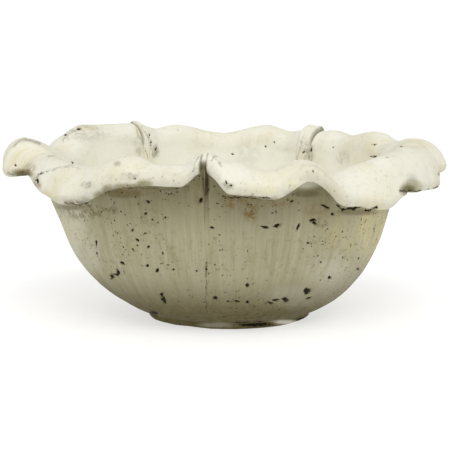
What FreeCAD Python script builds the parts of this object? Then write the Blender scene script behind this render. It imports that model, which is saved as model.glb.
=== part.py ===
import FreeCAD, Part
import math
import os
import Sketcher
from FreeCAD import Vector

# A hand-built ceramic planter with a ruffled, turned-out lip, lengths in mm and angles in degrees.
# It stands on the plane of X and Y with +Z up and its front towards -Y.
# The origin is the middle of the bowl's footprint, on the floor it stands on.
# Angles round the bowl start at the front and grow towards the right (+X).

# Sizes of the foot, floor, wall, seams and plug: name, value, what it is
SIZES = (
    ("foot_radius", "81 mm", "outer radius of the foot ring"),
    ("foot_width", "16 mm", "width of the foot ring"),
    ("foot_height", "6 mm", "height of the foot ring"),
    ("foot_round", "1.5 mm", "rounding of the foot ring's lower edges"),
    ("floor_thickness", "14 mm", "thickness of the floor slab"),
    ("floor_radius", "109.7 mm", "outer radius of the floor slab at its top"),
    ("belly_reach", "36.8 mm", "distance of the belly arc's centre from the rim's axis"),
    ("belly_rise", "104 mm", "height of the belly arc's centre above the floor"),
    ("wall", "14 mm", "thickness of the wall and lip"),
    ("wall_seat", "28 mm", "width of the wall's foot on the floor slab"),
    ("toe_height", "12 mm", "height of the straight slope at the inside of the wall's foot"),
    ("rim_shift", "3 mm", "how far the rim's axis stands to the left of the origin"),
    ("lean", "6.5 mm", "how far the foot stands to the right of the rim's axis"),
    ("cut_spacing", "3 deg", "angle between neighbouring cuts of a petal"),
    ("edge_spacing", "1 deg", "angle between the first two and the last two cuts of a petal"),
    ("drain_radius", "9 mm", "radius of the drain hole"),
    ("plug_clearance", "0.05 mm", "radial gap between the plug and the drain hole"),
    ("plug_overlap", "6 mm", "how far the plug's head reaches past the drain hole"),
    ("plug_head", "4 mm", "height of the plug's head"),
    ("plug_round", "1.5 mm", "rounding of the plug's head"),
    ("plug_end_gap", "3 mm", "how far the plug's stem ends above the underside of the floor"),
    ("plug_chamfer", "1.2 mm", "chamfer at the end of the plug's stem"),
)

# Pleats between the petals: name, angle, height of the bend above the floor, tilt and length of the
# flap, flare of the wall, radius of the hollow under the lip
PLEATS = (
    ("front", -5, 141, -26, 5, 79, 8),
    ("right", 68, 129, -75, 10, 77, 12),
    ("back_right", 146, 130, 10, 4, 84, 8),
    ("back_left", 212, 136, 10, 4, 84, 8),
    ("left", 284, 125, -48, 4, 80, 8),
)

# Seam strips and how each differs from its pleat: name, angle it takes up, steeper wall, groove
# outside, ridge inside, lower bend, shorter flap
SEAMS = (
    ("front", 1.6, 7, 2.5, 2, 3, 0),
    ("right", 2.4, 0, 0.5, 0.5, 0, 0.5),
    ("back_right", 5.6, 0, 1, 5, 0, 0),
    ("back_left", 2.4, 0, 1, 3, 0, 0),
    ("left", 2.4, 0, 0.5, 0.5, 0, 0.5),
)

# Waves of the lip on each petal: share of the petal from its first pleat, then as for the pleats
PETALS = (
    ("front_right", "front", "right", (
        ("dip_one", 0.095, 134, -58, 9, 75, 8),
        ("lobe_one", 0.250, 125, -38, 11, 74, 8),
        ("arch_one", 0.372, 134, -10, 14, 74, 8),
        ("lobe_two", 0.552, 121, -60, 10, 74, 8),
        ("hang_two", 0.700, 127, -62, 22, 74, 8),
        ("swell_two", 0.800, 131, -62, 18, 74, 8),
    )),
    ("right", "right", "back_right", (
        ("lobe_three", 0.167, 129, -85, 11, 74, 12),
        ("crease_three", 0.270, 130, -75, 4, 75, 10),
        ("tail_three", 0.400, 124, -72, 1, 73, 20),
        ("arch_two", 0.526, 127, -10, 16, 74, 8),
        ("lobe_four", 0.654, 134, -35, 12, 75, 8),
        ("dip_four", 0.833, 127, 0, 8, 78, 8),
        ("knob_four", 0.900, 131, 0, 6, 82, 8),
    )),
    ("back", "back_right", "back_left", (
        ("dip_five", 0.150, 127, -15, 8, 76, 8),
        ("lobe_five", 0.288, 133.5, -35, 10.5, 74, 8),
        ("arch_three", 0.515, 124.5, -5, 17.3, 74, 8),
        ("lobe_six", 0.760, 133.5, -35, 10.5, 74, 8),
        ("dip_six", 0.860, 129.5, -15, 8, 76, 8),
    )),
    ("left", "back_left", "left", (
        ("lobe_seven", 0.264, 139.5, -35, 14, 74, 8),
        ("arch_four", 0.514, 118, 0, 14, 74, 8),
        ("lobe_eight", 0.757, 137, -85, 9, 65, 8),
        ("knob_eight", 0.896, 136, -75, 10, 68, 8),
    )),
    ("front_left", "left", "front", (
        ("lobe_nine", 0.438, 124, -64, 14, 74, 8),
        ("arch_five", 0.720, 137.5, -35, 17, 74, 8),
        ("lobe_ten", 0.815, 130.5, -17, 12, 74, 8),
        ("edge_ten", 0.915, 131, -20, 11, 75, 8),
    )),
)

# Angles in degrees, and how near two lengths are the same
FULL_TURN = 360
QUARTER_TURN = 90
SAME_LENGTH = 1e-4

# Curves of a cut through wall and lip, in the order that they are drawn, and the points of a curve
BELLY, WALL, UNDER, FLAP, TIP, FLAP_TOP, CROWN, INSIDE, HOLLOW, TOE, SEAT = range(11)
START, END, CENTRE = range(1, 4)

# Places of an outline's points that lie on the axis or on the floor that the bowl stands on
ON_AXIS = "0 mm"
ON_FLOOR = "0 mm"

doc = FreeCAD.newDocument("ruffled_planter")
sheet = doc.addObject("Spreadsheet::Sheet", "sizes")
next_row = 1


def add_cell(name, text, note):
    """Write one size into the next row of the sheet and name its cell."""
    global next_row
    sheet.set(f"A{next_row}", note)
    sheet.set(f"B{next_row}", text)
    sheet.setAlias(f"B{next_row}", name)
    next_row += 1


def add_lip_cells(name, rise, tilt, flap, flare, curl):
    """Write the five sizes of one cut through the lip."""
    add_cell(f"{name}_rise", f"{rise} mm", f"{name}: height of the lip's bend above the floor")
    add_cell(f"{name}_tilt", f"={tilt} deg", f"{name}: slope of the flap, minus is down")
    add_cell(f"{name}_flap", f"{flap} mm", f"{name}: length of the flap past the bend")
    add_cell(f"{name}_flare", f"{flare} deg", f"{name}: slope of the wall")
    add_cell(f"{name}_curl", f"{curl} mm", f"{name}: radius of the hollow under the lip")


for name, value, note in SIZES:
    add_cell(name, value, note)
add_cell("floor_top", "=foot_height + floor_thickness", "height of the floor's top")
add_cell("belly_height", "=floor_top + belly_rise", "height of the belly arc's centre")
add_cell("stem_radius", "=drain_radius - plug_clearance", "radius of the plug's stem")
for name, angle, *lip in PLEATS:
    add_cell(f"{name}_angle", f"={angle} deg", f"{name} pleat: angle from the front")
    add_lip_cells(name, *lip)
for name, turn, turn_in, groove, ridge, drop, tuck in SEAMS:
    add_cell(f"{name}_turn", f"{turn} deg", f"{name} seam: angle that the strip takes up")
    add_cell(f"{name}_turn_in", f"={turn_in} deg", f"{name} seam: wall steeper than its pleat by")
    add_cell(f"{name}_groove", f"{groove} mm", f"{name} seam: depth of the groove outside")
    add_cell(f"{name}_ridge", f"{ridge} mm", f"{name} seam: height of the ridge inside")
    add_cell(f"{name}_drop", f"{drop} mm", f"{name} seam: bend lower than its pleat by")
    add_cell(f"{name}_tuck", f"{tuck} mm", f"{name} seam: flap shorter than its pleat by")
for petal, first, last, waves in PETALS:
    end = f"({last}_angle + {FULL_TURN} deg)" if petal == "front_left" else f"{last}_angle"
    add_cell(f"petal_{petal}_middle", f"=({first}_angle + {end}) / 2", f"{petal} petal: its middle")
    add_cell(f"petal_{petal}_start", f"={first}_angle + {first}_turn / 2", f"{petal} petal: first edge")
    add_cell(f"petal_{petal}_end", f"={end} - {last}_turn / 2", f"{petal} petal: last edge")
    for name, share, *lip in waves:
        add_cell(f"{name}_share", f"{share}", f"{name}: place on the petal, from 0 to 1")
        add_cell(f"{name}_angle", f"={first}_angle + {name}_share * ({end} - {first}_angle)",
                 f"{name}: angle from the front")
        add_lip_cells(name, *lip)
doc.recompute()
cell_names = {sheet.getAlias(f"B{row}") for row in range(1, next_row)}


def size(expression):
    """Work out an expression of sheet cells as a plain number of mm or degrees."""
    value = sheet.evalExpression(expression)
    return getattr(value, "Value", value)


def new_body(node):
    """Start one sub-part under its node name."""
    body = doc.addObject("PartDesign::Body", node)
    body.Label = node
    return body


def new_sketch(body, name):
    """Start a sketch on the upright XZ plane of a body, with X as radius and Y as height."""
    sketch = body.newObject("Sketcher::SketchObject", name)
    plane = next(item for item in body.Origin.OriginFeatures if item.Role == "XZ_Plane")
    sketch.AttachmentSupport = (plane, [""])
    sketch.MapMode = "FlatFace"
    return sketch


def bind(sketch, name, expression, *constraint):
    """Add a dimension to a sketch and tie it to the sheet."""
    value = size(expression)
    if constraint[0] == "Angle":
        value = math.radians(value)
    index = sketch.addConstraint(Sketcher.Constraint(*constraint, value))
    sketch.renameConstraint(index, name)
    sketch.setExpression(f"Constraints.{name}", in_sheet(expression))


def in_sheet(expression):
    """Put the sheet's name before each cell name of an expression."""
    words = []
    word = ""
    for letter in expression + " ":
        if letter.isalnum() or letter in "_.":
            word += letter
            continue
        words.append(f"sizes.{word}" if word in cell_names else word)
        words.append(letter)
        word = ""
    return "".join(words).strip()


def polar(centre, radius, angle):
    """Give the point at an angle on a circle."""
    return (centre[0] + radius * math.cos(angle), centre[1] + radius * math.sin(angle))


def arc(centre, radius, start, end):
    """Give an arc of a sketch that runs counter-clockwise from one angle to another."""
    circle = Part.Circle(Vector(*centre, 0), Vector(0, 0, 1), radius)
    return Part.ArcOfCircle(circle, start, end)


def line(start, end):
    """Give a straight line of a sketch."""
    return Part.LineSegment(Vector(*start, 0), Vector(*end, 0))


def lip_sketch(body, name, angle, cut):
    """Draw one closed cut through wall and lip.

    The outside goes up the belly arc and the straight wall, round the hollow under the lip, along
    the flap, round its end, back over the top and down the inside at the wall's thickness. A
    straight slope inside leads to the seat on the floor slab.
    """
    reach = f"belly_reach - lean * sin({angle})"
    radius = f"sqrt((floor_radius - belly_reach + 2 * lean * sin({angle}))^2 + belly_rise^2)"
    radius = f"{radius} - {cut['groove']}"
    thick = f"wall - {cut['groove']} + {cut['ridge']}"
    bend = f"{cut['curl']} + {cut['groove']}"
    crown = f"{cut['curl']} + wall + {cut['ridge']}"

    flare = math.radians(size(cut["flare"]))
    tilt = math.radians(size(cut["tilt"]))
    quarter = math.pi / 2
    belly = (size(reach), size("belly_height"))
    outer = size(radius)
    inner = outer - size(thick)
    depth = belly[1] - size("floor_top")
    outer_start = math.acos(depth / outer) - quarter
    inner_start = math.acos((depth - size("toe_height")) / inner) - quarter
    foot_outside = polar(belly, outer, outer_start)
    foot_inside = (foot_outside[0] - size("wall_seat"), foot_outside[1])
    wall_low = polar(belly, outer, flare - quarter)
    height = size(cut["height"])
    wall_high = (wall_low[0] + (height - wall_low[1]) / math.tan(flare), height)
    turn = polar(wall_high, size(bend), flare - quarter)
    under = polar(turn, size(bend), tilt + quarter)
    flap_end = polar(under, size(cut["flap"]), tilt)
    tip = polar(flap_end, size(thick) / 2, tilt + quarter)
    flap_top = polar(flap_end, size(thick), tilt + quarter)

    sketch = new_sketch(body, name)
    for curve in (
        arc(belly, outer, outer_start, flare - quarter),
        line(wall_low, wall_high),
        arc(turn, size(bend), tilt + quarter, flare + quarter),
        line(under, flap_end),
        arc(tip, size(thick) / 2, tilt - quarter, tilt + quarter),
        line(flap_top, polar(turn, size(crown), tilt + quarter)),
        arc(turn, size(crown), tilt + quarter, flare + quarter),
        line(polar(turn, size(crown), flare + quarter), polar(belly, inner, flare - quarter)),
        arc(belly, inner, inner_start, flare - quarter),
        line(polar(belly, inner, inner_start), foot_inside),
        line(foot_inside, foot_outside),
    ):
        sketch.addGeometry(curve, False)

    smooth_joins = (
        (BELLY, END, WALL, START), (WALL, END, UNDER, END), (UNDER, START, FLAP, START),
        (FLAP, END, TIP, START), (TIP, END, FLAP_TOP, START), (FLAP_TOP, END, CROWN, START),
        (CROWN, END, INSIDE, START), (INSIDE, END, HOLLOW, END))
    for join in smooth_joins:
        sketch.addConstraint(Sketcher.Constraint("Tangent", *join))
    shared_points = (
        (HOLLOW, START, TOE, START), (TOE, END, SEAT, START), (SEAT, END, BELLY, START),
        (BELLY, CENTRE, HOLLOW, CENTRE), (UNDER, CENTRE, CROWN, CENTRE))
    for pair in shared_points:
        sketch.addConstraint(Sketcher.Constraint("Coincident", *pair))
    sketch.addConstraint(Sketcher.Constraint("Horizontal", SEAT))
    sketch.addConstraint(Sketcher.Constraint("Parallel", FLAP, FLAP_TOP))
    sketch.addConstraint(Sketcher.Constraint("Parallel", WALL, INSIDE))
    bind(sketch, "belly_reach", reach, "DistanceX", -1, 1, BELLY, CENTRE)
    bind(sketch, "belly_height", "belly_height", "DistanceY", -1, 1, BELLY, CENTRE)
    bind(sketch, "belly_radius", radius, "Radius", BELLY)
    bind(sketch, "foot_of_wall", "floor_top", "DistanceY", -1, 1, BELLY, START)
    bind(sketch, "seat", "wall_seat", "DistanceX", SEAT, START, SEAT, END)
    bind(sketch, "toe_top", "floor_top + toe_height", "DistanceY", -1, 1, HOLLOW, START)
    bind(sketch, "flare", cut["flare"], "Angle", WALL)
    bind(sketch, "bend_height", cut["height"], "DistanceY", -1, 1, WALL, END)
    bind(sketch, "bend", bend, "Radius", UNDER)
    bind(sketch, "crown", crown, "Radius", CROWN)
    bind(sketch, "tilt", cut["tilt"], "Angle", FLAP)
    bind(sketch, "flap", cut["flap"], "Distance", FLAP)
    return sketch


def lip_cut(name):
    """Name the sizes of a cut through the lip at a wave or pleat."""
    return {"height": f"floor_top + {name}_rise", "tilt": f"{name}_tilt", "flap": f"{name}_flap",
            "flare": f"{name}_flare", "curl": f"{name}_curl", "groove": "0 mm", "ridge": "0 mm"}


def between(cut, next_cut, share):
    """Ease every size of a cut towards the next cut."""
    weight = share * share * (3 - 2 * share)
    return {key: f"({cut[key]} + ({next_cut[key]} - ({cut[key]})) * {weight})" for key in cut}


def petal_cut(body, name, angle, middle, cut):
    """Draw a cut at an angle round the rim, in a body that is turned to its own middle."""
    sketch = lip_sketch(body, name, angle, cut)
    turn = turned(f"{angle} - {middle}", "0; 1; 0")
    sketch.setExpression("AttachmentOffset", f"placement(vector(0 mm; 0 mm; 0 mm); {turn})")
    return sketch


def turned(angle, axis):
    """Write a turn about an axis as an expression."""
    return f"rotation(vector({axis}); {in_sheet(angle)})"


def place_round_rim(body, angle):
    """Stand a body on the rim's axis with its X axis at an angle from the front."""
    turn = turned(f"{angle} - {QUARTER_TURN} deg", "0; 0; 1")
    body.setExpression("Placement", f"placement(vector(-sizes.rim_shift; 0 mm; 0 mm); {turn})")


def place_on_foot(body):
    """Stand a body on the foot's axis."""
    turn = turned("0 deg", "0; 0; 1")
    shift = in_sheet("lean - rim_shift")
    body.setExpression("Placement", f"placement(vector({shift}; 0 mm; 0 mm); {turn})")


def revolve(body, sketch):
    """Turn a sketch once round the height axis."""
    revolution = body.newObject("PartDesign::Revolution", f"{body.Name}_turn")
    revolution.Profile = sketch
    revolution.ReferenceAxis = (sketch, ["V_Axis"])
    revolution.Angle = FULL_TURN
    return revolution


def closed_outline(body, name, points):
    """Draw a closed outline of straight lines through points given as pairs of expressions."""
    sketch = new_sketch(body, name)
    corners = [(size(across), size(up)) for across, up in points]
    count = len(corners)
    for index in range(count):
        sketch.addGeometry(line(corners[index], corners[(index + 1) % count]), False)
    for index in range(count):
        sketch.addConstraint(Sketcher.Constraint("Coincident", index, 2, (index + 1) % count, 1))
    for index, (across, up) in enumerate(points):
        if across == ON_AXIS:
            sketch.addConstraint(Sketcher.Constraint("PointOnObject", index, 1, -2))
        else:
            bind(sketch, f"across_{index}", across, "DistanceX", -1, 1, index, 1)
        if up == ON_FLOOR:
            sketch.addConstraint(Sketcher.Constraint("PointOnObject", index, 1, -1))
        else:
            bind(sketch, f"up_{index}", up, "DistanceY", -1, 1, index, 1)
    return sketch


def edges_on_circles(shape, circles):
    """Name the edges of a shape that are whole circles with one of the given radii and heights."""
    names = []
    for number, edge in enumerate(shape.Edges, 1):
        if edge.Curve.TypeId != "Part::GeomCircle":
            continue
        for radius, height in circles:
            same_radius = abs(edge.Curve.Radius - radius) < SAME_LENGTH
            if same_radius and abs(edge.Curve.Center.z - height) < SAME_LENGTH:
                names.append(f"Edge{number}")
    return names


def dress(body, kind, name, base, circles, length, expression):
    """Round or chamfer the circular edges of a body."""
    doc.recompute()
    feature = body.newObject(f"PartDesign::{kind}", name)
    feature.Base = (base, edges_on_circles(base.Shape, circles))
    feature.setExpression(length, in_sheet(expression))
    return feature


def build_foot():
    """Build the ring that the bowl stands on."""
    body = new_body("foot_ring")
    place_on_foot(body)
    inner = "foot_radius - foot_width"
    outline = closed_outline(body, "foot_outline", (
        (inner, ON_FLOOR), ("foot_radius", ON_FLOOR),
        ("foot_radius", "foot_height"), (inner, "foot_height")))
    ring = revolve(body, outline)
    lower_edges = ((size("foot_radius"), 0), (size(inner), 0))
    dress(body, "Fillet", "foot_rounding", ring, lower_edges, "Radius", "foot_round")
    return body


def build_floor():
    """Build the floor slab with the start of the belly and the drain hole."""
    body = new_body("base_dish")
    place_on_foot(body)
    sketch = new_sketch(body, "floor_outline")
    belly = (size("belly_reach"), size("belly_height"))
    radius = size("sqrt((floor_radius - belly_reach)^2 + belly_rise^2)")
    quarter = math.pi / 2
    low_angle = math.acos((belly[1] - size("foot_height")) / radius) - quarter
    high_angle = math.acos(size("belly_rise") / radius) - quarter
    low = polar(belly, radius, low_angle)
    high = polar(belly, radius, high_angle)
    bore = size("drain_radius")
    for curve in (
        arc(belly, radius, low_angle, high_angle),
        line(high, (bore, high[1])),
        line((bore, high[1]), (bore, low[1])),
        line((bore, low[1]), low),
    ):
        sketch.addGeometry(curve, False)
    for index in range(4):
        pair = (index, END, (index + 1) % 4, START)
        sketch.addConstraint(Sketcher.Constraint("Coincident", *pair))
    sketch.addConstraint(Sketcher.Constraint("Horizontal", 1))
    sketch.addConstraint(Sketcher.Constraint("Vertical", 2))
    sketch.addConstraint(Sketcher.Constraint("Horizontal", 3))
    bind(sketch, "belly_reach", "belly_reach", "DistanceX", -1, 1, 0, 3)
    bind(sketch, "belly_height", "belly_height", "DistanceY", -1, 1, 0, 3)
    bind(sketch, "floor_radius", "floor_radius", "DistanceX", -1, 1, 0, 2)
    bind(sketch, "floor_top", "floor_top", "DistanceY", -1, 1, 0, 2)
    bind(sketch, "foot_height", "foot_height", "DistanceY", -1, 1, 0, 1)
    bind(sketch, "drain_radius", "drain_radius", "DistanceX", -1, 1, 2, 1)
    revolve(body, sketch)
    return body


def build_petal(petal, first, last, waves):
    """Build one wall petal as a loft through its cuts."""
    body = new_body(f"petal_{petal}")
    middle = f"petal_{petal}_middle"
    place_round_rim(body, middle)
    stations = [(first, f"petal_{petal}_start")]
    stations += [(row[0], f"{row[0]}_angle") for row in waves]
    stations += [(last, f"petal_{petal}_end")]
    sketches = []
    for (before, angle_before), (after, angle_after) in zip(stations, stations[1:]):
        span = f"({angle_after} - {angle_before})"
        steps = max(1, round(size(f"{span} / cut_spacing")))
        shares = [step / steps for step in range(steps)]
        edge = size(f"edge_spacing / {span}")
        if before == first:
            shares.insert(1, edge)
        if after == last:
            shares.append(1 - edge)
        for share in shares:
            angle = f"({angle_before} + {span} * {share})"
            cut = between(lip_cut(before), lip_cut(after), share)
            sketches.append(petal_cut(body, f"{petal}_cut_{len(sketches)}", angle, middle, cut))
    sketches.append(petal_cut(body, f"{petal}_cut_{len(sketches)}", angle_after, middle, lip_cut(last)))
    loft = body.newObject("PartDesign::AdditiveLoft", f"{petal}_loft")
    loft.Profile = sketches[0]
    loft.Sections = sketches[1:]
    loft.Ruled = False
    return body


def build_seam(seam):
    """Build the strip that closes one pleat."""
    body = new_body(f"seam_{seam}")
    place_round_rim(body, f"{seam}_angle")
    cut = lip_cut(seam)
    cut["height"] = f"floor_top + {seam}_rise - {seam}_drop"
    cut["flare"] = f"{seam}_flare + {seam}_turn_in"
    cut["flap"] = f"{seam}_flap - {seam}_tuck"
    cut["groove"] = f"{seam}_groove"
    cut["ridge"] = f"{seam}_ridge"
    sketch = lip_sketch(body, f"{seam}_seam_cut", f"{seam}_angle", cut)
    strip = revolve(body, sketch)
    strip.Midplane = True
    strip.setExpression("Angle", in_sheet(f"{seam}_turn"))
    return body


def build_plug():
    """Build the rubber plug that lies in the drain hole."""
    body = new_body("drain_plug")
    place_on_foot(body)
    head_radius = "drain_radius + plug_overlap"
    head_top = "floor_top + plug_head"
    stem_end = "foot_height + plug_end_gap"
    outline = closed_outline(body, "plug_outline", (
        (ON_AXIS, stem_end), ("stem_radius", stem_end), ("stem_radius", "floor_top"),
        (head_radius, "floor_top"), (head_radius, head_top), (ON_AXIS, head_top)))
    plug = revolve(body, outline)
    head_edge = ((size(head_radius), size(head_top)),)
    rounding = dress(body, "Fillet", "plug_rounding", plug, head_edge, "Radius", "plug_round")
    stem_edge = ((size("stem_radius"), size(stem_end)),)
    dress(body, "Chamfer", "plug_lead_in", rounding, stem_edge, "Size", "plug_chamfer")
    return body


bodies = [build_foot(), build_floor()]
bodies += [build_petal(*row) for row in PETALS]
bodies += [build_seam(row[0]) for row in SEAMS]
bodies.append(build_plug())
doc.recompute()

for item in doc.Objects:
    if "Invalid" in item.State or "Error" in item.State:
        raise RuntimeError(f"{item.Name} did not build: {item.State}")
os.makedirs("parts", exist_ok=True)
for body in bodies:
    if body.Shape.isNull() or not body.Shape.isValid() or len(body.Shape.Solids) != 1:
        raise RuntimeError(f"{body.Label} is not one valid solid")
    body.Shape.exportStep(f"parts/{body.Label}.step")
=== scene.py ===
import itertools
import math

import bpy
import numpy as np
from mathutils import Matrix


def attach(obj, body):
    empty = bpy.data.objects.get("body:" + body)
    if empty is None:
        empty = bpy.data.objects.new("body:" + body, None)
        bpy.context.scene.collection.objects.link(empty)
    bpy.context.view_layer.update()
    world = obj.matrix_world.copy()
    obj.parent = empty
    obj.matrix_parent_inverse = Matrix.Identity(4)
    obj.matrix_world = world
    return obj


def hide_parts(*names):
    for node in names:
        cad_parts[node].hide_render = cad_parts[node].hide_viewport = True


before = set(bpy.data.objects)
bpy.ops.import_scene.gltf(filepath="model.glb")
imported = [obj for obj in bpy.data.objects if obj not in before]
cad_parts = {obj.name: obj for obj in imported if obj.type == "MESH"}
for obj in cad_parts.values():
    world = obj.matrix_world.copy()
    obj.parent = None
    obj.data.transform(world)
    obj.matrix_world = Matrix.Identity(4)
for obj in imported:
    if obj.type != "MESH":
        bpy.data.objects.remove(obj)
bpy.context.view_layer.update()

bl_info = {
    "name": "Ruffled ceramic planter",
    "version": (1, 0, 0),
    "blender": (4, 5, 0),
    "location": "View3D > Sidebar > Planter",
    "description": "Builds a hand-made ceramic planter with a ruffled lip and worn cream paint",
    "category": "Add Mesh",
}

MM = 0.001

# Pleats between the petals: angle from the front, height of the bend above the floor slab in mm,
# tilt of the flap, its length in mm, flare of the wall, radius of the bend in mm. Angles in degrees.
PLEATS = {
    "front": (-5, 141, -26, 5, 79, 8),
    "right": (68, 129, -75, 10, 77, 12),
    "back_right": (146, 130, 10, 4, 84, 8),
    "back_left": (212, 136, 10, 4, 84, 8),
    "left": (284, 125, -48, 4, 80, 8),
}

# Waves of the lip on each petal: share of the petal from its first pleat, then as for the pleats
PETALS = {
    "front_right": ("front", "right", (
        (0.095, 134, -58, 9, 75, 8), (0.250, 125, -38, 11, 74, 8), (0.372, 134, -10, 14, 74, 8),
        (0.552, 121, -60, 10, 74, 8), (0.700, 127, -62, 22, 74, 8), (0.800, 131, -62, 18, 74, 8))),
    "right": ("right", "back_right", (
        (0.167, 129, -85, 11, 74, 12), (0.270, 130, -75, 4, 75, 10), (0.400, 124, -72, 1, 73, 20),
        (0.526, 127, -10, 16, 74, 8), (0.654, 134, -35, 12, 75, 8), (0.833, 127, 0, 8, 78, 8),
        (0.900, 131, 0, 6, 82, 8))),
    "back": ("back_right", "back_left", (
        (0.150, 127, -15, 8, 76, 8), (0.288, 133.5, -35, 10.5, 74, 8), (0.515, 124.5, -5, 17.3, 74, 8),
        (0.760, 133.5, -35, 10.5, 74, 8), (0.860, 129.5, -15, 8, 76, 8))),
    "left": ("back_left", "left", (
        (0.264, 139.5, -35, 14, 74, 8), (0.514, 118, 0, 14, 74, 8), (0.757, 137, -85, 9, 65, 8),
        (0.896, 136, -75, 10, 68, 8))),
    "front_left": ("left", "front", (
        (0.438, 124, -64, 14, 74, 8), (0.720, 137.5, -35, 17, 74, 8), (0.815, 130.5, -17, 12, 74, 8),
        (0.915, 131, -20, 11, 75, 8))),
}

# Seam strips: width in degrees, then in mm the groove outside, the ridge inside and how deep the
# slit at the top is, then the strip's own cut as for the pleats
SEAMS = {
    "front": (1.6, 0.1, 2, 7, (138, -26, 7, 86, 8)),
    "right": (2.4, 0.1, 0.1, 0, (129, -75, 10, 77, 12)),
    "back_right": (5.6, 0.4, 2.5, 0, (132.5, 10, 4, 84, 8)),
    "back_left": (2.4, 0.4, 3, 0, (136, 10, 4, 84, 8)),
    "left": (2.4, 0.2, 0.2, 0, (125, -48, 4, 80, 8)),
}

# Heights between which the slit at the top of the front strip gets its depth
SLIT_LOW, SLIT_HIGH = 132 * MM, 150 * MM

# Dent in the lip at the right in mm: its middle, its radius and how far it is pressed in
DENT_MIDDLE = (174.5, -112, 140)
DENT_RADIUS = 17
DENT_PRESS = (-6, 12, 1)

# Rounding of the petals' edges beside each seam strip in mm: on the outer wall, under the lip, on
# the lip's end, on the lip's top and on the inner wall
EDGE_ROUNDING = {
    "front": (0.3, 1.5, 3.0, 2.0, 1.0),
    "right": (0.2, 0.2, 0.3, 0.3, 0.3),
    "back_right": (0.3, 1.0, 1.5, 2.0, 1.5),
    "back_left": (0.3, 1.0, 1.5, 2.0, 1.5),
    "left": (0.2, 0.3, 0.4, 0.5, 0.4),
}

# Units of a cut's values: bend height, tilt, flap, flare, bend radius
LIP_UNITS = (MM, math.radians(1), MM, math.radians(1), MM)

# Rows of a cut through wall and lip, from the belly to the lip's end and back down inside
BELLY_ROWS, WALL_ROWS, BEND_ROWS, FLAP_ROWS, END_ROWS = 64, 56, 18, 12, 10
HALF_ROWS = BELLY_ROWS + WALL_ROWS + BEND_ROWS + FLAP_ROWS + END_ROWS
PETAL_COLUMNS = 300
SEAM_COLUMNS = 25
RING_COLUMNS = 360
PLUG_COLUMNS = 96

# Chips on the outer wall and lip: place across and down the front view, width, height, turn in
# degrees. One unit of the front view is about 1 mm.
FRONT_CHIPS = (
    (200.6, 200.3, 3.5, 6, 20), (148.2, 202.6, 3.5, 3, 0), (145.3, 213.8, 3.2, 2.4, 0),
    (164.5, 217.6, 2.4, 2.4, 0), (131.7, 230.8, 3, 2.4, 0), (145.3, 233.4, 2.2, 2, 0),
    (136.7, 240.2, 3.2, 2.4, 20), (148.7, 247.1, 2.6, 2.6, 0), (162.7, 253.7, 2, 2, 0),
    (96.2, 244, 2, 5.5, 0), (96.2, 253.7, 2.2, 2.6, 0), (122, 262.9, 3.6, 2.6, 20),
    (147.2, 266.1, 2.8, 2.4, 0), (156.8, 270.7, 3.6, 2.8, 0), (160.7, 263.5, 2.2, 2, 0),
    (172.5, 269.2, 2.6, 2.4, 0), (196.3, 271.5, 2.8, 2.2, 0), (206.6, 268.6, 3, 2.6, 0),
    (212.1, 228.2, 5, 2.6, 0), (215.5, 297.9, 4.2, 3, 0), (112, 276.5, 6, 3, 30),
    (116, 274, 6, 3, 10), (118, 272, 2.6, 8, -10), (161.6, 294.5, 3.6, 4, 20),
    (164, 300, 4, 8.5, -25), (153.6, 313.4, 10, 4, 12), (265.4, 227.1, 8, 2.6, 2),
    (276.8, 225.8, 7, 3.4, -5), (297.5, 227, 2.6, 7.5, 25), (313, 220.8, 7, 3.2, -10),
    (314.5, 223.5, 5, 3, 15), (324.5, 206.6, 6, 2.4, 20), (332.5, 214.3, 4, 2.5, 0),
    (292, 202, 3.2, 2.4, 0), (308.2, 243.4, 3, 2.6, 0), (330, 277.8, 3, 3.4, 0),
    (306.7, 291, 8, 5, -10), (284.9, 299.6, 6, 4.6, 0), (276, 300.4, 8, 1.8, -15),
    (269.4, 303.4, 8, 1.8, 10), (237.2, 301.1, 6, 2.6, 0), (228.6, 301.2, 6, 1.4, 0),
    (247.6, 301.9, 3, 2, 0), (247.3, 284.9, 4, 3, 0), (307.8, 298.6, 6, 1.8, -20),
    (357.8, 269.8, 2, 2, 0), (358.9, 258.9, 2, 2, 0), (343.4, 258, 2.2, 2, 0),
    (320.8, 263.1, 2, 2, 0), (226.5, 181.8, 1.6, 2.4, -20), (231.6, 185.4, 3, 2, 10),
    (135.9, 178.6, 2.4, 2.2, 0), (37.3, 181, 2.4, 5, -20), (14.4, 164.8, 1.4, 1.8, 20),
    (313, 172.1, 2, 2, 0), (253.5, 324, 37, 5, 0), (301.5, 319.5, 10, 4, -20),
    (401.7, 147.4, 2.4, 2.6, 0), (387, 157.9, 3, 1.8, -10),
)
BACK_CHIPS = (
    (78.5, 128.4, 3.5, 1.4, 0), (66, 135.6, 2, 1.4, -40), (68.4, 139.4, 1.4, 2.2, 0),
    (150, 134.9, 1.6, 2.4, -20), (151, 142, 1.4, 1.8, 0), (155.6, 149.2, 2.6, 3, 0),
    (273.5, 142.3, 2.2, 2, 0), (264.8, 145.9, 1.8, 1.8, 0), (233.2, 153.6, 2.2, 1.4, 0),
    (177.6, 129.8, 1.2, 1.4, 0), (303.8, 151.7, 2, 2.2, 0), (311.4, 149.5, 1.6, 4, 0),
    (303.3, 161.7, 5, 1.8, 0), (374.2, 144.6, 4.4, 1.6, 5), (373.2, 156.3, 5.6, 1.5, -20),
    (387, 157.9, 3, 1.8, -10), (401.7, 147.1, 3, 2.6, 0), (332.6, 146.8, 1.3, 1.3, 0),
)

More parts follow.
